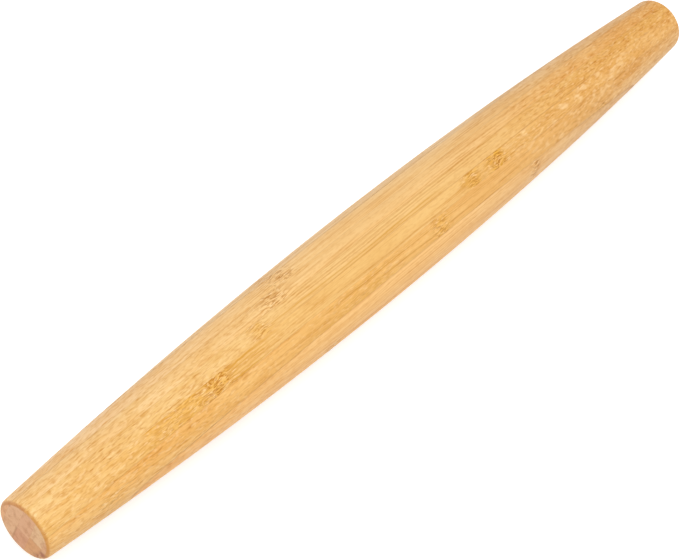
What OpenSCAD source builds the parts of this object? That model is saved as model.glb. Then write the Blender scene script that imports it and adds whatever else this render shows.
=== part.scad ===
// French rolling pin: a square blank of glued bamboo strips, turned to one long crowned taper.
// The pin lies along X with its middle at the origin. The plies stack along Y, front to back,
// and the seams between the strips of a ply lie level, so every strip runs the pin's whole length
// or as far as the taper leaves it. Millimetres.

/* [Turned body] */
// Overall length, from end face to end face
length = 457; // [300:1:600]
// Diameter at the middle, where the pin is thickest
mid_d = 46; // [40:0.5:60]
// Diameter that the crown reaches at each end, before the edge is rounded
end_d = 29; // [20:0.5:38]
// Radius of the rounded edge between the crown and each flat end face
edge_r = 2.2; // [0.5:0.1:8]

/* [Laminated blank] */
// What turning leaves of each outermost ply, where the pin is thickest
outer_ply_t = 5.5; // [3:0.1:8]
// Width of the middle strip in a ply that is laid as three strips
middle_strip_w = 22; // [14:0.5:25]
// How far above the middle the strips of the three front plies are laid, outermost first
front_rise = [3, -0.5, 0]; // [-5:0.5:5]
// How far above the middle the strips of the centre ply are laid
centre_rise = -2; // [-5:0.5:5]
// How far above the middle the strips of the three back plies are laid, innermost first
back_rise = [0.5, 2, -4]; // [-5:0.5:5]
// Thinnest edge that the taper leaves on a ply before the ply under it takes over
feather_t = 0.2; // [0.15:0.05:0.6]

/* [Hidden] */
$fn = 128;

// Strips laid side by side in each ply, from the front ply to the back one
STRIPS = [2, 3, 2, 2, 3, 2, 2];
LEVELS = [[], [], ["lower", "upper"], ["lower", "middle", "upper"]];
TONES = [[0.93, 0.75, 0.47], [0.95, 0.79, 0.53], [0.91, 0.72, 0.44], [0.94, 0.77, 0.50], [0.90, 0.73, 0.48]];

rise = concat(front_rise, [centre_rise], back_rise);
last_ply = len(STRIPS) - 1;
centre_ply = last_ply / 2;
// The plies between the two outermost ones are planed alike to fill the rest of the thickness
ply_t = (mid_d - 2 * outer_ply_t) / (last_ply - 1);
// Half-size of the blank, outside the thickest part of the turned body
blank_half = mid_d / 2 + 2;
blank_end = length / 2 + 1;

// The crown is one arc of this radius, centred beyond the axis
crown_drop = (mid_d - end_d) / 2;
crown_r = (pow(length / 2, 2) + pow(crown_drop, 2)) / (2 * crown_drop);
crown_centre = mid_d / 2 - crown_r;
// Centre of the edge rounding, which touches both the crown and the end face
edge_x = length / 2 - edge_r;
edge_y = crown_centre + sqrt(pow(crown_r - edge_r, 2) - pow(edge_x, 2));
// Angle on the crown, from the middle of the pin, where the rounding takes over
blend_angle = asin(edge_x / (crown_r - edge_r));
crown_steps = 12;
edge_steps = 8;

function strip_name(ply, strip) = str("ply", ply + 1, "_", LEVELS[STRIPS[ply]][strip], "_strip");

// Heights of a ply's strip edges, from the bottom of the blank to its top
function strip_edges(ply) = concat(
    [-blank_half],
    STRIPS[ply] == 3
        ? [rise[ply] - middle_strip_w / 2, rise[ply] + middle_strip_w / 2]
        : [rise[ply]],
    [blank_half]);

// How far from the middle of the pin the crown still stands a feather's thickness outside a
// plane that lies this far off the axis
function reach(face) = min(blank_end, sqrt(pow(crown_r, 2) - pow(face + feather_t - crown_centre, 2)));

// Half outline, as distance from the axis and place along it, from the middle to the end face
function half_outline() = concat(
    [for (i = [0:crown_steps - 1])
        let (a = blend_angle * i / crown_steps)
        [crown_centre + crown_r * cos(a), crown_r * sin(a)]],
    [for (i = [0:edge_steps])
        let (a = blend_angle + (90 - blend_angle) * i / edge_steps)
        [edge_y + edge_r * cos(a), edge_x + edge_r * sin(a)]],
    [[0, length / 2]]);

function mirrored(points) = [for (i = [len(points) - 1:-1:1]) [points[i][0], -points[i][1]]];

// The finished pin as one turned body, crowned along its length
module turned_pin() {
    rotate([0, 90, 0])
        rotate_extrude()
            polygon(concat(mirrored(half_outline()), half_outline()));
}

// A block of the blank, from a face this far off the axis out to the back of the blank
module outside(face, half_length) {
    translate([-half_length, face, -blank_half])
        cube([2 * half_length, blank_half - face, 2 * blank_half]);
}

// The part of the blank that one ply takes up
module ply_zone(ply) {
    out = abs(ply - centre_ply);
    outer = (out + 0.5) * ply_t;
    mirror([0, ply < centre_ply ? 1 : 0, 0])
        difference() {
            if (out == 0)
                outside(-blank_half, blank_end);
            else
                outside((out - 0.5) * ply_t, reach((out - 0.5) * ply_t));
            if (out < centre_ply)
                outside(outer, reach(outer));
            if (out == 0)
                mirror([0, 1, 0])
                    outside(outer, reach(outer));
        }
}

// The level band of the blank that one strip takes up in its ply
module strip_band(ply, strip) {
    low = strip_edges(ply)[strip];
    high = strip_edges(ply)[strip + 1];
    translate([-blank_end, -blank_half, low])
        cube([2 * blank_end, 2 * blank_half, high - low]);
}

// What turning leaves of one strip
module strip(ply, strip) {
    color(TONES[(2 * ply + strip) % len(TONES)])
        intersection() {
            turned_pin();
            ply_zone(ply);
            strip_band(ply, strip);
        }
}

for (ply = [0:last_ply])
    for (strip = [0:STRIPS[ply] - 1])
        strip(ply, strip);
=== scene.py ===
"""French rolling pin turned from laminated bamboo: the looks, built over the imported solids.

Each of the sixteen strips is a closed piece of its own. The pin is turned as one fine lathe mesh and cut at
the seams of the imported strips, and the glue lines are sunk by a few hundredths of a millimetre. Work inside
the script is in millimetres; the finished meshes are in metres.
"""
import math

import bmesh
import bpy
from mathutils import Matrix, Vector, noise


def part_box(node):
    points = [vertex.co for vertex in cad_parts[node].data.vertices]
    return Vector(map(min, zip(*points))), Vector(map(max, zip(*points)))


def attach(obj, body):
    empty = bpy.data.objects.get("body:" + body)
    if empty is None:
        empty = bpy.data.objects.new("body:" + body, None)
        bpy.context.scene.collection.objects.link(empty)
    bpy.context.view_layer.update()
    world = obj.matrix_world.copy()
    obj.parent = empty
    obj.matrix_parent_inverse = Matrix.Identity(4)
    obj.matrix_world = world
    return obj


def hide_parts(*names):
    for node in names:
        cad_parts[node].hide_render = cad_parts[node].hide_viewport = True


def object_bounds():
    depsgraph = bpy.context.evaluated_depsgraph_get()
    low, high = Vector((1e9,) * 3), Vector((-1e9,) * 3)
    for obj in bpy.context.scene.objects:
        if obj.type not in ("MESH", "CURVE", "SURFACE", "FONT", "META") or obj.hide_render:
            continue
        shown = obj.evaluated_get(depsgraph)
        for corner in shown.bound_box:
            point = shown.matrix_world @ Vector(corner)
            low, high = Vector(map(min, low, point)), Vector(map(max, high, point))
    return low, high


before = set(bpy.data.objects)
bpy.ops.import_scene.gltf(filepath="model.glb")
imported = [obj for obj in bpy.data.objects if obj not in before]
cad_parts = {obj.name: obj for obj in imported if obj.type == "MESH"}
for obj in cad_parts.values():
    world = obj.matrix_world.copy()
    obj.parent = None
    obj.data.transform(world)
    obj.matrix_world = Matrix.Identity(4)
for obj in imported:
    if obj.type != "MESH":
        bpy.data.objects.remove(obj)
cad_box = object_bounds()

MM = 0.001
Y_AXIS = 1
Z_AXIS = 2

# The turned body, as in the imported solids
LENGTH = round((cad_box[1].x - cad_box[0].x) / MM, 2)
MIDDLE_R = 23.0
END_R = 14.5
EDGE_R = 2.2
HALF = LENGTH / 2
CROWN_DROP = MIDDLE_R - END_R
CROWN_R = (HALF ** 2 + CROWN_DROP ** 2) / (2 * CROWN_DROP)
CROWN_CENTRE = MIDDLE_R - CROWN_R
EDGE_X = HALF - EDGE_R
EDGE_Y = CROWN_CENTRE + math.sqrt((CROWN_R - EDGE_R) ** 2 - EDGE_X ** 2)
BLEND = math.atan2(EDGE_X, EDGE_Y - CROWN_CENTRE)
BLEND_X = CROWN_R * math.sin(BLEND)

# The laminate: plies side by side along y, 7 in all, each made of strips above one another along z
PLY_T = 7.0
CENTRE_PLY = 4
LAST_PLY = 7
TWO = ["lower", "upper"]
THREE = ["lower", "middle", "upper"]
STRIPS_IN_PLY = {1: TWO, 2: THREE, 3: TWO, 4: TWO, 5: THREE, 6: TWO, 7: TWO}

# The fineness of the turned mesh
SEGMENTS = 300
CROWN_STEPS = 304
EDGE_STEPS = 10
FACE_RINGS = 9

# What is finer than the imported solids; the sanding's waves are longer along the pin than round it
GLUE_W = 0.14
GLUE_DEPTH = 0.03
SANDING_DEPTH = 0.035
SANDING_ALONG = 26
SANDING_ROUND = 11

# The material numbers of faces while a strip is being cut
SKIN = 0
CUT_FACE = 1

# Distances in millimetres within which points or planes count as the same
SAME_POINT = 1e-3
SAME_PLANE = 0.01
CUT_REACH = 1e-5
ON_AXIS = 1e-6

# The camera, from the fit to the photo's outline: places in metres, the sensor in millimetres
CAMERA_AT = Vector((-0.57511, -0.16283, 0.76577))
IMAGE_RIGHT = Vector((0.64109, -0.70379, 0.30596))
IMAGE_UP = Vector((0.51354, 0.68974, 0.51046))
SENSOR_W = 36.0
FOCAL_PX = 2100.0
PHOTO_W = 680.0
CAMERA_REACH = 20


def profile():
    """The half outline as (x, r) from the near face's centre to the far face's centre."""
    half_steps = CROWN_STEPS // 2
    right = []
    for i in range(half_steps + 1):
        a = BLEND * i / half_steps
        right.append((CROWN_R * math.sin(a), CROWN_CENTRE + CROWN_R * math.cos(a)))
    for i in range(1, EDGE_STEPS + 1):
        a = BLEND + (math.pi / 2 - BLEND) * i / EDGE_STEPS
        right.append((EDGE_X + EDGE_R * math.sin(a), EDGE_Y + EDGE_R * math.cos(a)))
    for i in range(1, FACE_RINGS + 1):
        right.append((HALF, EDGE_Y * (1 - i / FACE_RINGS)))
    return [(-x, r) for x, r in reversed(right[1:])] + right


def lathe():
    """The whole pin as one closed bmesh of quads, with a fan at each face's centre."""
    rings = profile()[1:-1]
    angles = [j * 2 * math.pi / SEGMENTS for j in range(SEGMENTS)]
    verts = [(x, -r * math.cos(a), r * math.sin(a)) for x, r in rings for a in angles]
    near = len(verts)
    far = near + 1
    verts += [(-HALF, 0, 0), (HALF, 0, 0)]
    last = (len(rings) - 1) * SEGMENTS
    faces = []
    for ring in range(0, last, SEGMENTS):
        above = ring + SEGMENTS
        for j in range(SEGMENTS):
            k = (j + 1) % SEGMENTS
            faces.append((ring + j, ring + k, above + k, above + j))
    for j in range(SEGMENTS):
        k = (j + 1) % SEGMENTS
        faces.append((near, k, j))
        faces.append((far, last + j, last + k))
    mesh = bpy.data.meshes.new("lathe")
    mesh.from_pydata(verts, [], faces)
    bm = bmesh.new()
    bm.from_mesh(mesh)
    bpy.data.meshes.remove(mesh)
    bmesh.ops.recalc_face_normals(bm, faces=bm.faces[:])
    return bm


def skin_normal(p):
    """The turned surface's outward direction at a point that lies on it."""
    r = math.hypot(p.y, p.z)
    if abs(p.x) <= BLEND_X + SAME_POINT:
        along, out = p.x, r - CROWN_CENTRE
    elif r > EDGE_Y + SAME_POINT:
        along, out = p.x - math.copysign(EDGE_X, p.x), r - EDGE_Y
    else:
        along, out = math.copysign(1.0, p.x), 0.0
    radial = Vector((0, p.y, p.z)) / max(r, ON_AXIS)
    return (Vector((along, 0, 0)) + radial * out).normalized()


def cut(bm, point, normal, **settings):
    """Cuts the whole mesh at a plane."""
    geom = bm.verts[:] + bm.edges[:] + bm.faces[:]
    return bmesh.ops.bisect_plane(bm, geom=geom, dist=CUT_REACH, plane_co=point, plane_no=normal, **settings)


def halve(bm, axis, at, keep):
    """Keeps the side of a seam plane that keep (+1 or -1) names and closes the cut. A loop beside the plane
    bounds the glue line."""
    point, normal = Vector(), Vector()
    normal[axis] = -keep
    point[axis] = at + keep * GLUE_W
    cut(bm, point, normal)
    point[axis] = at
    rim = cut(bm, point, normal, clear_outer=True)["geom_cut"]
    rim = [e for e in rim if isinstance(e, bmesh.types.BMEdge)]
    for face in bmesh.ops.holes_fill(bm, edges=rim, sides=0)["faces"]:
        face.material_index = CUT_FACE


def ply_of(node):
    """The number of a strip's ply, which its name holds."""
    return int(node[3])


def seams(node):
    """The seam planes that bound a strip, as (axis, place, side kept): those between plies from their pitch,
    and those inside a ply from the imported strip's box. Its other sides are the turned surface."""
    low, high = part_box(node)
    ply = ply_of(node)
    middle = PLY_T * (ply - CENTRE_PLY)
    found = []
    if ply > 1:
        found.append((Y_AXIS, middle - PLY_T / 2, 1))
    if ply < LAST_PLY:
        found.append((Y_AXIS, middle + PLY_T / 2, -1))
    if "_lower" not in node:
        found.append((Z_AXIS, round(low.z / MM, 3), 1))
    if "_upper" not in node:
        found.append((Z_AXIS, round(high.z / MM, 3), -1))
    return found


def sanding_wave(p):
    """The unevenness left by sanding, at one point."""
    stretched = Vector((p.x / SANDING_ALONG, p.y / SANDING_ROUND, p.z / SANDING_ROUND))
    return SANDING_DEPTH * noise.noise(stretched)


def finish_strip(bm, node):
    """Sinks the glue lines, adds the sanding's slight unevenness, and makes the object. No vertex leaves its
    side of a seam plane, so the strips still meet where they run out to thin points."""
    planes = seams(node)
    moves = {}
    for v in bm.verts:
        skin = [f for f in v.link_faces if f.material_index == SKIN]
        if not skin:
            continue
        at_seam = len(skin) < len(v.link_faces)
        rise = sanding_wave(v.co) - SANDING_DEPTH - (GLUE_DEPTH if at_seam else 0)
        to = v.co + skin_normal(v.co) * rise
        for axis, at, keep in planes:
            away = (v.co[axis] - at) * keep
            if (to[axis] - at) * keep < away / 2:
                to[axis] = at + keep * away / 2
        moves[v] = to
    for v, to in moves.items():
        v.co = to
    for edge in bm.edges:
        edge.smooth = {f.material_index for f in edge.link_faces} == {SKIN}
    for face in bm.faces:
        face.smooth = face.material_index == SKIN
        face.material_index = 0
    bmesh.ops.scale(bm, vec=(MM, MM, MM), verts=bm.verts[:])
    mesh = bpy.data.meshes.new(node + "_bamboo")
    bm.to_mesh(mesh)
    strip = bpy.data.objects.new(node + "_bamboo", mesh)
    bpy.context.scene.collection.objects.link(strip)
    return strip


class Nodes:
    """Short forms for building a material's node graph."""

    def __init__(self, name):
        self.material = bpy.data.materials.new(name)
        self.material.use_nodes = True
        self.tree = self.material.node_tree
        self.shader = self.tree.nodes["Principled BSDF"]

    def link(self, value, socket):
        """Links a node's output to a socket, or sets a plain value on it."""
        if isinstance(value, bpy.types.NodeSocket):
            self.tree.links.new(value, socket)
        else:
            socket.default_value = value

    def add(self, kind, *values, out=0, **settings):
        """A new node with its inputs filled in order; gives back one of its outputs."""
        node = self.tree.nodes.new(kind)
        for key, value in settings.items():
            setattr(node, key, value)
        sockets = [s for s in node.inputs if s.enabled]
        for value, socket in zip(values, sockets):
            self.link(value, socket)
        return [s for s in node.outputs if s.enabled][out]

    def math(self, operation, *values, clamp=False):
        return self.add("ShaderNodeMath", *values, operation=operation, use_clamp=clamp)

    def times(self, a, b, clamp=False):
        return self.math("MULTIPLY", a, b, clamp=clamp)

    def scaled(self, value, factor, plus):
        """The value times the factor, plus something."""
        return self.math("MULTIPLY_ADD", value, factor, plus)

    def joined(self, values, operation="ADD"):
        """Many values joined by one operation."""
        result = values[0]
        for value in values[1:]:
            result = self.math(operation, result, value)
        return result

    def vector(self, operation, *values):
        return self.add("ShaderNodeVectorMath", *values, operation=operation)

    def combine(self, x, y, z):
        return self.add("ShaderNodeCombineXYZ", x, y, z)

    def split(self, vector):
        return [self.add("ShaderNodeSeparateXYZ", vector, out=i) for i in range(3)]

    def object_place(self):
        """The point in the object's own coordinates, in metres: the fourth output of the node."""
        return self.add("ShaderNodeTexCoord", out=3)

    def ramp(self, value, low, high, to_low=0.0, to_high=1.0):
        """A smooth step from low to high."""
        values = (value, low, high, to_low, to_high)
        return self.add("ShaderNodeMapRange", *values, interpolation_type="SMOOTHSTEP")

    def window(self, value, start, stop, fade_in, fade_out):
        """1 between start and stop, and a smooth step down at both."""
        rise = self.ramp(value, start - fade_in, start + fade_in)
        return self.times(rise, self.ramp(value, stop + fade_out, stop - fade_out))

    def noise(self, at, detail=2.0, out=0):
        scale, rough = 1.0, 0.5
        return self.add("ShaderNodeTexNoise", at, scale, detail, rough, out=out, noise_dimensions="3D")

    def blend(self, factor, a, b, kind="MIX"):
        """Colour a where the factor is 0, and colour b where it is 1."""
        node = self.tree.nodes.new("ShaderNodeMix")
        node.data_type = "RGBA"
        node.blend_type = kind
        self.link(factor, node.inputs["Factor"])
        for name, colour in (("A", a), ("B", b)):
            self.link(colour, next(s for s in node.inputs if s.name == name and s.type == "RGBA"))
        return next(s for s in node.outputs if s.type == "RGBA")

    def shade(self, colour, factor, tone):
        """Multiplies in a tone where the factor is high."""
        return self.blend(1.0, colour, self.blend(factor, WHITE, (*tone, 1)), "MULTIPLY")


def srgb(r, g, b):
    """A colour written as 0 to 255 screen values."""
    linear = [c / 255 / 12.92 if c <= 10 else ((c / 255 + 0.055) / 1.055) ** 2.4 for c in (r, g, b)]
    return (*linear, 1.0)


# The bamboo: soft ground colour and fibre colour of each record slot, in the order the strips take them
TONES = {
    "bamboo_straw": (srgb(250, 203, 130), srgb(221, 156, 70)),
    "bamboo_pale": (srgb(252, 209, 140), srgb(226, 163, 78)),
    "bamboo_honey": (srgb(247, 197, 118), srgb(214, 145, 56)),
    "bamboo_cream": (srgb(251, 206, 140), srgb(223, 162, 84)),
    "bamboo_tan": (srgb(245, 194, 120), srgb(216, 154, 76)),
}
WHITE = (1, 1, 1, 1)
PALE_FLECK = srgb(255, 216, 158)
KNUCKLE_GOLD = srgb(236, 176, 66)
KNUCKLE_DARK = srgb(188, 116, 12)
STREAK_GOLD = srgb(216, 154, 56)
GLUE = srgb(196, 132, 62)
END_FIBRE = srgb(196, 122, 72)
END_KNOT = srgb(150, 66, 18)
END_GLUE = srgb(174, 110, 60)
# The brown ring round the rounded edge at each end: partly the end grain's own browner colour, partly painted
# shade; browner on the plies past the centre ply
EDGE_RING_AND_SHADE = srgb(210, 138, 60)
EDGE_RING_AND_SHADE_BROWN = srgb(198, 126, 68)
# The end grain's colour on the two faces, by ply and strip
END_GRAIN = {
    "ply2": srgb(228, 172, 122),
    "ply3_lower": srgb(226, 164, 106),
    "ply3_upper": srgb(240, 194, 142),
    "ply4_lower": srgb(224, 162, 118),
    "ply4_upper": srgb(234, 178, 132),
    "ply5": srgb(238, 186, 138),
    "ply6": srgb(242, 182, 128),
}
# The tint of each ply's bamboo at the middle, and what multiplies it towards the near end and the far end
TINT = {
    1: ((1.05, 0.99, 0.96), (1.0, 0.94, 0.86), (0.80, 0.78, 0.84)),
    2: ((1.0, 0.99, 0.91), (1.01, 0.98, 0.93), (0.90, 0.84, 0.82)),
    3: ((0.94, 0.955, 0.955), (1.0, 0.99, 0.97), (0.975, 0.875, 0.76)),
    4: ((0.97, 1.045, 1.30), (1.0, 1.02, 1.05), (0.96, 0.84, 0.62)),
    5: ((1.0, 1.06, 1.28), (0.99, 1.0, 1.04), (0.94, 0.78, 0.56)),
    6: ((1.02, 1.03, 1.13), (0.98, 1.0, 1.17), (0.88, 0.80, 0.74)),
    7: ((0.99, 1.06, 1.30), (1.0, 1.03, 1.10), (0.86, 0.80, 0.70)),
}
# What multiplies the colour where a pattern is strong
BAND_TONE = (0.965, 0.91, 0.80)
CLOUD_TONE = (0.97, 0.93, 0.86)
PATCH_TONE = (0.965, 0.92, 0.80)

# Places along the pin in millimetres: where a change starts and where it is full, and, where two more values
# follow, its strengths there
NEAR_TINT_X = (-60.0, -190.0)
FAR_TINT_X = (-20.0, 210.0)
PALE_START_X = (40.0, 110.0)
PALE_STOP_X = (215.0, 140.0, 0.25, 1.0)
KNOT_X = (1.5 - HALF, 0.6 - HALF)
# The same as distances from the pin's middle, for both halves
TAPER = (45.0, 150.0, 0.12, 1.0)
RING_AND_SHADE_X = (HALF - 1.3, HALF - 0.3)
END_FACE_X = (HALF - 0.5, HALF - 0.2)
# The same as distances from the pin's axis
END_FACE_R = (EDGE_Y + 0.65, EDGE_Y + 0.05)

# The knuckles seen in the photo, and others out of its sight: place along the pin, reach to the left and to
# the right of it, strength of the dark strokes, strength of the golden ground
KNUCKLES = {
    "ply1_upper_strip": [(91, 3.5, 3.5, 0.95, 0.1)],
    "ply1_lower_strip": [(-60, 6, 6, 0.8, 0.4)],
    "ply2_upper_strip": [(17.5, 6, 6, 0.62, 0.5), (-34, 38, 30, 0.28, 0.25)],
    "ply2_middle_strip": [(-196, 6, 6, 0.5, 0.2), (150, 6, 6, 0.8, 0.4)],
    "ply2_lower_strip": [(-118, 7, 7, 0.9, 0.6)],
    "ply3_upper_strip": [
        (-125, 9, 8, 1.0, 0.75), (-142, 30, 12, 0.5, 0.55),
        (48, 8, 6, 0.65, 0.6), (67, 7, 6, 1.0, 1.1), (84, 8, 45, 0.26, 0.05),
    ],
    "ply3_lower_strip": [(-34, 7, 7, 1.0, 0.6)],
    "ply4_upper_strip": [(-94, 7, 5, 0.65, 0.4)],
    "ply4_lower_strip": [(112, 7, 7, 0.9, 0.5)],
    "ply5_upper_strip": [(-78, 10, 8, 0.72, 0.0)],
    "ply5_middle_strip": [(190, 6, 6, 0.7, 0.4)],
    "ply5_lower_strip": [(58, 7, 7, 0.9, 0.5)],
    "ply6_upper_strip": [(-66, 9, 8, 0.75, 0.0)],
    "ply6_lower_strip": [(-148, 6, 6, 0.7, 0.3), (96, 6, 6, 0.9, 0.6)],
    "ply7_upper_strip": [(-69, 6, 5, 0.6, 0.1)],
    "ply7_lower_strip": [(-88, 7, 7, 0.9, 0.5)],
}
# Strength of the pale patches on the far half of each ply
PALE_PATCHES = {1: 0.2, 2: 0.35, 3: 0.5, 4: 0.2, 5: 0.12, 6: 0.12, 7: 0.12}
# Golden streaks that run on from a knuckle or along a seam: from, to, strength, lowest and highest y, and the
# share of the strength that holds between the streaks
GOLD = {
    "ply3_upper_strip": [(-121, -97, 0.95, -30, 30, 0.0), (-82, -18, 0.25, -10.5, -4.5, 0.0)],
    "ply4_upper_strip": [(-92, 34, 0.7, -3.4, -1.4, 0.3)],
    "ply2_upper_strip": [(-78, -25, 0.28, -30, 30, 0.0)],
}
# Half the length over which the streaks fade in, fade out, and fade at their sides
GOLD_FADE_IN = 4
GOLD_FADE_OUT = 18
GOLD_SIDE_FADE = 0.4
# Half the distance between two rows of streaks, and the half width of a row, from its soft edge to its full
# strength
GOLD_HALF_PITCH = 0.7
GOLD_ROW = (0.45, 0.15)
# Where a glue line shows plainly: y of the seam between plies, from x, to x, strength
OPEN_GLUE = [(-3.5, 80.0, 150.0, 0.7), (-3.5, -75.0, 80.0, 0.4)]
OPEN_GLUE_FADE = 8
# Glue lines that show on the end faces: y of the seam between plies, from z, to z, strength
END_LINES = [(3.5, -16.0, -2.0, 0.45), (10.5, 7.0, 16.0, 0.7)]
END_LINE_FADE = 1
# The half widths of a glue line, from its soft edge to its full strength
GLUE_LINE = (0.20, 0.05)
OPEN_GLUE_LINE = (0.40, 0.10)
END_GLUE_LINE = (0.80, 0.15)
# The brown spots at the near face's lower edge: place and reach, and for all of them the reach of the full
# strength, and that strength
END_KNOTS = [((0.0, -11.8, -3.2), 3.4), ((0.0, -9.8, -7.4), 3.0)]
END_KNOTS_ON = ["ply2_middle_strip", "ply3_lower_strip"]
KNOT_CORE = 0.4
KNOT_STRENGTH = 0.75

# Two spacings of fibre bundles: bundles per millimetre, the reach of a bundle in its own cell, from its soft
# edge to its core, and the ramp that makes each bundle's strength from its cell's random value
BUNDLES = [
    (0.80, (0.42, 0.15), (0.0, 0.8, 0.3, 1.0)),
    (1.55, (0.45, 0.15), (0.25, 1.0, 0.0, 0.75)),
]
# How far the fibres wander sideways, in millimetres: everywhere, on the taper, at a knuckle, in gold streaks
SWAY_MM = 3.0
TAPER_SWAY_MM = 1.3
KNUCKLE_SWAY_MM = 3.6
GOLD_SWAY_MM = 0.9

# The noise patterns: reach along the pin and reach across it in millimetres, and detail
SWAY = (90, 9, 2.0)
TAPER_SWAY = (8, 5, 2.0)
KNUCKLE_SWAY = (9, 6, 0.0)
BANDS = (260, 2.6, 2.0)
CLOUDS = (34, 12, 2.0)
DASHES = (3.4, 0.72, 1.0)
CHIPS = (3.2, 1.0, 1.0)
BREAKS = (5.5, 1.0, 1.0)
PATCHES = (11, 3.6, 3.0)
PALE_SPOTS = (6.5, 2.6, 1.0)
KNUCKLE_PATCHES = (6, 2.4, 2.0)
STROKES = (4.0, 0.52, 1.0)
GOLD_ROWS = (60, 2.5, 0.0)
GOLD_PARTS = (30, 2.0, 0.0)
GLUE_PARTS = (40, 5, 2.0)
OPEN_GLUE_PARTS = (13, 5, 2.0)
END_MOTTLE_MM = 3.2

# The part of a noise pattern that shows: the noise value where it starts and where it is full, and, where two
# more values follow, the strengths there
BANDS_SHOW = (0.35, 0.7)
CLOUDS_SHOW = (0.3, 0.7)
DASHES_SHOW = (0.47, 0.68)
CHIPS_SHOW = (0.54, 0.70)
BREAKS_SHOW = (0.40, 0.58)
PATCHES_SHOW = (0.42, 0.62)
PALE_SPOTS_SHOW = (0.54, 0.68)
KNUCKLE_PATCHES_SHOW = (0.36, 0.60, 0.25, 1.0)
STROKES_SHOW = (0.50, 0.60)
GOLD_PARTS_SHOW = (0.35, 0.6, 0.5, 1.0)
GLUE_PARTS_SHOW = (0.40, 0.68, 0.0, 0.45)
OPEN_GLUE_PARTS_SHOW = (0.38, 0.62, 0.35, 1.0)
RING_AND_SHADE_CLOUDS_SHOW = (0.3, 0.6, 0.4, 0.8)
END_MOTTLE_SHOWS = (0.45, 0.70, 0.0, 0.42)
KNOT_MOTTLE_SHOWS = (0.35, 0.6, 0.5, 1.0)

# Strengths. A pair is what the full taper adds, and what there is without it. The breaks take their share of
# the lines on the full taper, and even the weakest band leaves its share of the bundles.
FIBRES_ON_TAPER = (-0.20, 1.02)
DASHES_ON_TAPER = (0.30, 0.18)
BREAK_DEPTH = 0.75
WEAKEST_BAND = 0.15
FLECKS_ON_TAPER = 0.40
FLECKS_AT_KNUCKLE = 1.2
THREADS_IN_STROKES = 0.45
DARKEST_KNUCKLE = 0.9
FIBRES_ON_FACE = 0.26
GLUE_ON_FACE = 0.7

# The surface: roughness, what clouds and fibres add to it, and the relief of the fibres in metres
ROUGHNESS = 0.42
ROUGHER_CLOUDS = 0.14
ROUGHER_FIBRES = 0.10
SPECULAR = 0.35
DASHES_IN_RELIEF = 0.4
RELIEF_STRENGTH = 0.5
RELIEF_HEIGHT = 0.00006

# How far each strip's own number moves its noise, so that no two strips look alike
SEED_STEP = 37.7


def lines_on(table, axis, at):
    """The lines of a table that lie in one seam plane, as (start, stop, strength)."""
    return [line for plane, *line in table if axis == Y_AXIS and abs(at - plane) < SAME_PLANE]


def end_grain(node):
    """The end grain's colour of a strip. Plies 1 and 7 don't reach the end faces and take ply 2's."""
    return next((colour for start, colour in END_GRAIN.items() if node.startswith(start)), END_GRAIN["ply2"])


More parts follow.
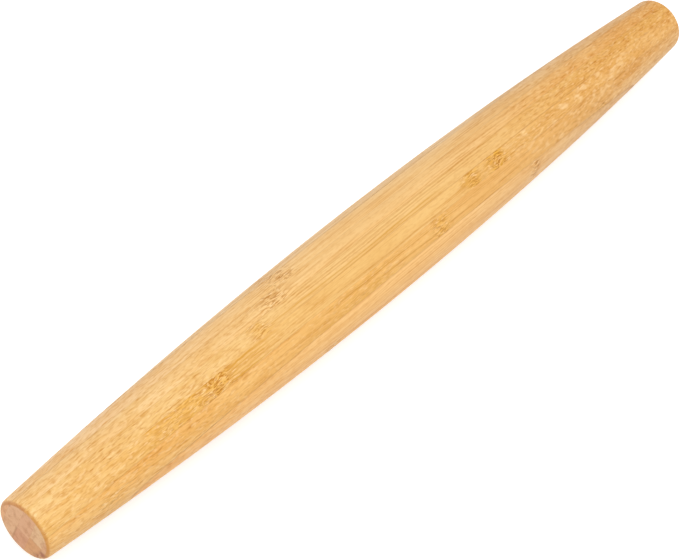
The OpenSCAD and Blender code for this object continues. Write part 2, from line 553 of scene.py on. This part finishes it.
class Bamboo(Nodes):
    """Solid bamboo for one strip: fibre bundles that run along the pin, so they show as streaks on the
    middle, as short dashes where the taper cuts across them, and as dots on the end faces."""

    def __init__(self, node, seed):
        super().__init__(node + "_bamboo")
        self.node = node
        self.ply = ply_of(node)
        self.shift = seed * SEED_STEP
        self.x, self.y, self.z = self.split(self.vector("SCALE", self.object_place(), 1 / MM))
        self.from_middle = self.math("ABSOLUTE", self.x)
        self.taper = self.ramp(self.from_middle, *TAPER)
        self.knuckle, self.golden = self.knuckles()
        self.fy, self.fz = self.wander()
        self.bands = self.grain(BANDS, wandering=True)
        self.clouds = self.grain(CLOUDS)
        self.dashes = self.grain(DASHES, wandering=True)
        self.threads = self.joined([self.bundles(*spacing) for spacing in BUNDLES], "MAXIMUM")
        self.fibres = self.fibre_lines()
        mottle_y = self.math("DIVIDE", self.y, END_MOTTLE_MM)
        mottle_z = self.math("DIVIDE", self.z, END_MOTTLE_MM)
        self.mottle = self.noise(self.combine(self.shift, mottle_y, mottle_z))

    def grain(self, pattern, wandering=False, out=0):
        """Noise stretched along the pin. Where it wanders, it follows the fibres."""
        length, width, detail = pattern
        y, z = (self.fy, self.fz) if wandering else (self.y, self.z)
        along = self.scaled(self.x, 1 / length, self.shift)
        at = self.combine(along, self.math("DIVIDE", y, width), self.math("DIVIDE", z, width))
        return self.noise(at, detail, out)

    def sway(self, pattern, amount):
        """A sideways wander of the fibres, from the noise's colour, which holds three values."""
        centred = self.vector("SUBTRACT", self.grain(pattern, out=1), (0.5, 0.5, 0.5))
        return self.vector("SCALE", centred, amount)

    def knuckles(self):
        """The strength of the dark strokes and of the golden ground, from all knuckles of the strip."""
        strokes, ground = [], []
        for at, left, right, dark, gold in KNUCKLES[self.node]:
            off = self.math("SUBTRACT", self.x, float(at))
            off_right = self.math("DIVIDE", off, float(right))
            off_left = self.math("DIVIDE", off, -float(left))
            step = self.math("MAXIMUM", off_right, off_left)
            bell = self.math("EXPONENT", self.times(self.times(step, step), -1.0))
            strokes.append(self.times(bell, dark))
            ground.append(self.times(bell, gold))
        return self.joined(strokes), self.joined(ground)

    def wander(self):
        """Where the fibres run: y and z, moved sideways a little, and more on the taper and at knuckles."""
        on_taper = self.times(self.taper, TAPER_SWAY_MM)
        at_knuckle = self.times(self.math("MINIMUM", self.knuckle, 1.0), KNUCKLE_SWAY_MM)
        bend = self.vector("ADD", self.sway(SWAY, SWAY_MM), self.sway(TAPER_SWAY, on_taper))
        bend = self.vector("ADD", bend, self.sway(KNUCKLE_SWAY, at_knuckle))
        _, dy, dz = self.split(bend)
        return self.math("ADD", self.y, dy), self.math("ADD", self.z, dz)

    def bundles(self, per_mm, edge, own_strength):
        """Fibre bundles of one spacing, each with a strength of its own."""
        cells = self.tree.nodes.new("ShaderNodeTexVoronoi")
        cells.voronoi_dimensions = "2D"
        cells.inputs["Scale"].default_value = per_mm
        self.link(self.combine(self.math("ADD", self.fy, self.shift), self.fz, 0.0), cells.inputs["Vector"])
        own = self.add("ShaderNodeSeparateColor", cells.outputs["Color"])
        return self.times(self.ramp(cells.outputs["Distance"], *edge), self.ramp(own, *own_strength))

    def fibre_lines(self):
        """The fibres' strength. On the taper they are cut across, so their lines break up into dashes."""
        whole_line = self.ramp(self.grain(BREAKS, wandering=True), *BREAKS_SHOW)
        gaps = self.times(self.math("SUBTRACT", whole_line, 1.0), self.taper)
        broken = self.scaled(gaps, BREAK_DEPTH, 1.0)
        lines = self.times(self.threads, self.scaled(self.bands, 1.0, WEAKEST_BAND), clamp=True)
        lines = self.times(lines, self.times(broken, self.scaled(self.taper, *FIBRES_ON_TAPER)))
        short = self.times(self.ramp(self.dashes, *DASHES_SHOW), self.scaled(self.taper, *DASHES_ON_TAPER))
        return self.math("ADD", lines, short, clamp=True)

    def ground_colour(self, slot):
        """The slot's colours in this ply's tint, with bands, clouds, patches and the tints of the ends."""
        tint, near_tint, far_tint = TINT[self.ply]
        ground, fibre = ((*(c * t for c, t in zip(colour, tint)), 1.0) for colour in TONES[slot])
        colour = self.blend(self.fibres, ground, fibre)
        colour = self.shade(colour, self.ramp(self.bands, *BANDS_SHOW), BAND_TONE)
        colour = self.shade(colour, self.ramp(self.clouds, *CLOUDS_SHOW), CLOUD_TONE)
        patches = self.times(self.ramp(self.grain(PATCHES), *PATCHES_SHOW), self.taper)
        colour = self.shade(colour, patches, PATCH_TONE)
        colour = self.shade(colour, self.ramp(self.x, *NEAR_TINT_X), near_tint)
        return self.shade(colour, self.ramp(self.x, *FAR_TINT_X), far_tint)

    def add_flecks(self, colour):
        """Pale flecks on the taper and at the knuckles, and the pale patches of the far half."""
        chips = self.ramp(self.grain(CHIPS, wandering=True), *CHIPS_SHOW)
        here = self.scaled(self.knuckle, FLECKS_AT_KNUCKLE, self.times(self.taper, FLECKS_ON_TAPER))
        colour = self.blend(self.times(chips, here, clamp=True), colour, PALE_FLECK)
        far_half = self.ramp(self.x, *PALE_START_X, 0.0, PALE_PATCHES[self.ply])
        here = self.times(far_half, self.ramp(self.x, *PALE_STOP_X))
        pale = self.times(self.ramp(self.grain(PALE_SPOTS), *PALE_SPOTS_SHOW), here)
        return self.blend(pale, colour, PALE_FLECK)

    def add_knuckles(self, colour):
        """The knuckles: a golden ground under short dark strokes."""
        patches = self.ramp(self.grain(KNUCKLE_PATCHES, wandering=True), *KNUCKLE_PATCHES_SHOW)
        colour = self.blend(self.times(self.golden, patches, clamp=True), colour, KNUCKLE_GOLD)
        bits = self.ramp(self.grain(STROKES, wandering=True), *STROKES_SHOW)
        strokes = self.joined([self.times(self.threads, THREADS_IN_STROKES), bits], "MAXIMUM")
        dark = self.times(strokes, self.math("MINIMUM", self.knuckle, DARKEST_KNUCKLE))
        return self.blend(dark, colour, KNUCKLE_DARK)

    def add_gold(self, colour):
        """The golden streaks, in rows that sway a little."""
        for start, stop, strength, low, high, least in GOLD.get(self.node, []):
            along = self.window(self.x, start, stop, GOLD_FADE_IN, GOLD_FADE_OUT)
            across = self.window(self.fy, low, high, GOLD_SIDE_FADE, GOLD_SIDE_FADE)
            swayed = self.scaled(self.grain(GOLD_ROWS, wandering=True), GOLD_SWAY_MM, self.fy)
            rows = self.ramp(self.math("PINGPONG", swayed, GOLD_HALF_PITCH), *GOLD_ROW, least, 1.0)
            parts = self.ramp(self.grain(GOLD_PARTS, wandering=True), *GOLD_PARTS_SHOW)
            streaks = self.times(self.times(rows, parts), self.times(along, across))
            colour = self.blend(self.times(streaks, strength), colour, STREAK_GOLD)
        return colour

    def glue_lines(self):
        """The strengths of the glue lines on the turned surface and of those that show on the end faces."""
        parts = self.ramp(self.grain(GLUE_PARTS), *GLUE_PARTS_SHOW)
        on_skin, on_face = [], []
        for axis, at, _keep in seams(self.node):
            away = self.math("ABSOLUTE", self.math("SUBTRACT", (self.x, self.y, self.z)[axis], float(at)))
            on_skin.append(self.times(self.ramp(away, *GLUE_LINE), parts))
            for start, stop, strength in lines_on(OPEN_GLUE, axis, at):
                here = self.window(self.x, start, stop, OPEN_GLUE_FADE, OPEN_GLUE_FADE)
                here = self.times(here, self.ramp(self.grain(OPEN_GLUE_PARTS), *OPEN_GLUE_PARTS_SHOW))
                line = self.ramp(away, *OPEN_GLUE_LINE)
                on_skin.append(self.times(line, self.times(here, strength)))
            for start, stop, strength in lines_on(END_LINES, axis, at):
                here = self.window(self.z, start, stop, END_LINE_FADE, END_LINE_FADE)
                line = self.ramp(away, *END_GLUE_LINE)
                on_face.append(self.times(line, self.times(here, strength)))
        return self.joined(on_skin, "MAXIMUM"), on_face

    def face_colour(self, glue, face_lines):
        """The end grain, with the fibres as dots, a mottle and the glue lines."""
        dots = self.scaled(self.fibres, FIBRES_ON_FACE, self.ramp(self.mottle, *END_MOTTLE_SHOWS))
        colour = self.blend(dots, end_grain(self.node), END_FIBRE)
        colour = self.blend(self.times(glue, GLUE_ON_FACE), colour, END_FIBRE)
        if face_lines:
            colour = self.blend(self.joined(face_lines, "MAXIMUM"), colour, END_GLUE)
        return colour

    def add_ends(self, colour, face_colour):
        """The brown ring, which is partly painted shade, the end faces, and the brown spots at the near
        face's lower edge.
        """
        # A brown band round the rounded edge at each end: partly the end grain's browner colour, partly
        # painted shade
        ring = self.ramp(self.from_middle, *RING_AND_SHADE_X)
        ring = self.times(ring, self.ramp(self.clouds, *RING_AND_SHADE_CLOUDS_SHOW))
        colour = self.blend(ring, colour, EDGE_RING_AND_SHADE_BROWN if self.ply > CENTRE_PLY else EDGE_RING_AND_SHADE)
        across = self.combine(0.0, self.y, self.z)
        on_face = self.ramp(self.vector("LENGTH", across), *END_FACE_R)
        on_face = self.times(on_face, self.ramp(self.from_middle, *END_FACE_X))
        colour = self.blend(on_face, colour, face_colour)
        if self.node in END_KNOTS_ON:
            spots = []
            for at, reach in END_KNOTS:
                spots.append(self.ramp(self.vector("DISTANCE", across, at), reach, KNOT_CORE))
            here = self.times(self.ramp(self.mottle, *KNOT_MOTTLE_SHOWS), self.ramp(self.x, *KNOT_X))
            spot = self.times(self.joined(spots, "MAXIMUM"), here)
            colour = self.blend(self.times(spot, KNOT_STRENGTH), colour, END_KNOT)
        return colour

    def finish(self, colour):
        """Sets the colour, the roughness and the fine relief of the fibres."""
        self.link(colour, self.shader.inputs["Base Color"])
        rough = self.scaled(self.clouds, ROUGHER_CLOUDS, ROUGHNESS)
        self.link(self.scaled(self.fibres, ROUGHER_FIBRES, rough), self.shader.inputs["Roughness"])
        relief = self.math("ADD", self.times(self.fibres, -1.0), self.times(self.dashes, DASHES_IN_RELIEF))
        bump = self.tree.nodes.new("ShaderNodeBump")
        bump.inputs["Strength"].default_value = RELIEF_STRENGTH
        bump.inputs["Distance"].default_value = RELIEF_HEIGHT
        self.link(relief, bump.inputs["Height"])
        self.link(bump.outputs["Normal"], self.shader.inputs["Normal"])
        self.shader.inputs["Specular IOR Level"].default_value = SPECULAR


def bamboo(node, slot, seed):
    """The bamboo of one strip."""
    wood = Bamboo(node, seed)
    colour = wood.ground_colour(slot)
    colour = wood.add_flecks(colour)
    colour = wood.add_knuckles(colour)
    colour = wood.add_gold(colour)
    glue, face_lines = wood.glue_lines()
    colour = wood.blend(glue, colour, GLUE)
    colour = wood.add_ends(colour, wood.face_colour(glue, face_lines))
    wood.finish(colour)
    return wood.material


# Cut and finish the strips. Each ply starts two slots further on than the one before, and every strip has a
# number of its own as its seed.
ORDER = list(TONES)
SLOT_STEP = 2
MOST_STRIPS = len(THREE)

whole = lathe()
for ply, levels in STRIPS_IN_PLY.items():
    names = [f"ply{ply}_{level}_strip" for level in levels]
    slab = whole.copy()
    for axis, at, keep in seams(names[0]):
        if axis == Y_AXIS:
            halve(slab, axis, at, keep)
    for index, name in enumerate(names):
        part = slab.copy()
        for axis, at, keep in seams(name):
            if axis == Z_AXIS:
                halve(part, axis, at, keep)
        piece = finish_strip(part, name)
        part.free()
        slot = ORDER[(SLOT_STEP * (ply - 1) + index) % len(ORDER)]
        seed = 1 + MOST_STRIPS * (ply - 1) + index
        piece.data.materials.append(bamboo(name, slot, seed))
        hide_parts(name)
        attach(piece, "root")
    slab.free()
whole.free()

# The studio: the floor's reach from the pin's middle in metres, and the paper's colour and roughness
FLOOR_REACH = 2.5
PAPER = (0.74, 0.74, 0.74, 1)
PAPER_ROUGHNESS = 0.9
# The paper's own glow, as the camera sees it: two distances from the pin's middle and the strengths there
PAPER_GLOW = (0.5, 1.6, 0.56, 0.66)
# The world's strength as light, and as the camera sees it
WORLD_LIGHT = 0.50
WORLD_SEEN = 1.0
# The lamps: name, place, side of the square in metres, power in watts
LAMPS = [("key", (-0.6, 0.12, 1.5), 1.0, 15.1), ("fill", (0.7, -1.2, 1.0), 1.2, 6.3)]


def paper():
    """Pale paper that also glows where the camera, a mirror image or a clear piece shows it."""
    n = Nodes("studio_paper")
    n.shader.inputs["Base Color"].default_value = PAPER
    n.shader.inputs["Roughness"].default_value = PAPER_ROUGHNESS
    rays = n.tree.nodes.new("ShaderNodeLightPath").outputs
    indirect = n.math("MAXIMUM", rays["Is Glossy Ray"], rays["Is Transmission Ray"])
    seen = n.math("MAXIMUM", rays["Is Camera Ray"], indirect)
    glow = n.tree.nodes.new("ShaderNodeEmission")
    glow.inputs["Color"].default_value = WHITE
    bright = n.ramp(n.vector("LENGTH", n.object_place()), *PAPER_GLOW)
    n.link(n.times(seen, bright), glow.inputs["Strength"])
    both = n.tree.nodes.new("ShaderNodeAddShader")
    n.link(n.shader.outputs["BSDF"], both.inputs[0])
    n.link(glow.outputs["Emission"], both.inputs[1])
    n.link(both.outputs["Shader"], n.tree.nodes["Material Output"].inputs["Surface"])
    return n.material


def studio_floor(z, reach):
    """The sheet of paper under the pin."""
    corners = [(-reach, -reach, z), (reach, -reach, z), (reach, reach, z), (-reach, reach, z)]
    mesh = bpy.data.meshes.new("studio_floor")
    mesh.from_pydata(corners, [], [(0, 1, 2, 3)])
    sheet = bpy.data.objects.new("studio_floor", mesh)
    bpy.context.scene.collection.objects.link(sheet)
    sheet.data.materials.append(paper())
    return sheet


def studio_world():
    """White light from all round, brighter where the camera looks straight at it."""
    world = bpy.data.worlds.new("studio_world")
    world.use_nodes = True
    bpy.context.scene.world = world
    nodes, links = world.node_tree.nodes, world.node_tree.links
    backdrop = nodes["Background"]
    backdrop.inputs["Color"].default_value = WHITE
    rays = nodes.new("ShaderNodeLightPath")
    level = nodes.new("ShaderNodeMapRange")
    level.inputs["To Min"].default_value = WORLD_LIGHT
    level.inputs["To Max"].default_value = WORLD_SEEN
    links.new(rays.outputs["Is Camera Ray"], level.inputs["Value"])
    links.new(level.outputs["Result"], backdrop.inputs["Strength"])


def softbox(name, at, side, power):
    """A square area lamp that looks at the pin's middle."""
    lamp = bpy.data.lights.new(name, "AREA")
    lamp.shape = "SQUARE"
    lamp.size = side
    lamp.energy = power
    holder = bpy.data.objects.new(name, lamp)
    bpy.context.scene.collection.objects.link(holder)
    holder.location = at
    holder.rotation_euler = (-Vector(at)).to_track_quat("-Z", "Y").to_euler()


def photo_camera():
    """The camera at the photo's place."""
    camera = bpy.data.cameras.new("camera")
    camera.sensor_fit = "HORIZONTAL"
    camera.sensor_width = SENSOR_W
    camera.lens = SENSOR_W * FOCAL_PX / PHOTO_W
    camera.clip_end = CAMERA_REACH
    viewer = bpy.data.objects.new("camera", camera)
    bpy.context.scene.collection.objects.link(viewer)
    back = IMAGE_RIGHT.cross(IMAGE_UP).normalized()
    rotation = Matrix((IMAGE_RIGHT, IMAGE_UP, back)).transposed().to_4x4()
    viewer.matrix_world = Matrix.Translation(CAMERA_AT) @ rotation
    bpy.context.scene.camera = viewer


floor = studio_floor(cad_box[0].z, FLOOR_REACH)
studio_world()
for name, at, side, power in LAMPS:
    softbox(name, at, side, power)
photo_camera()

bpy.context.scene.view_settings.view_transform = "Standard"
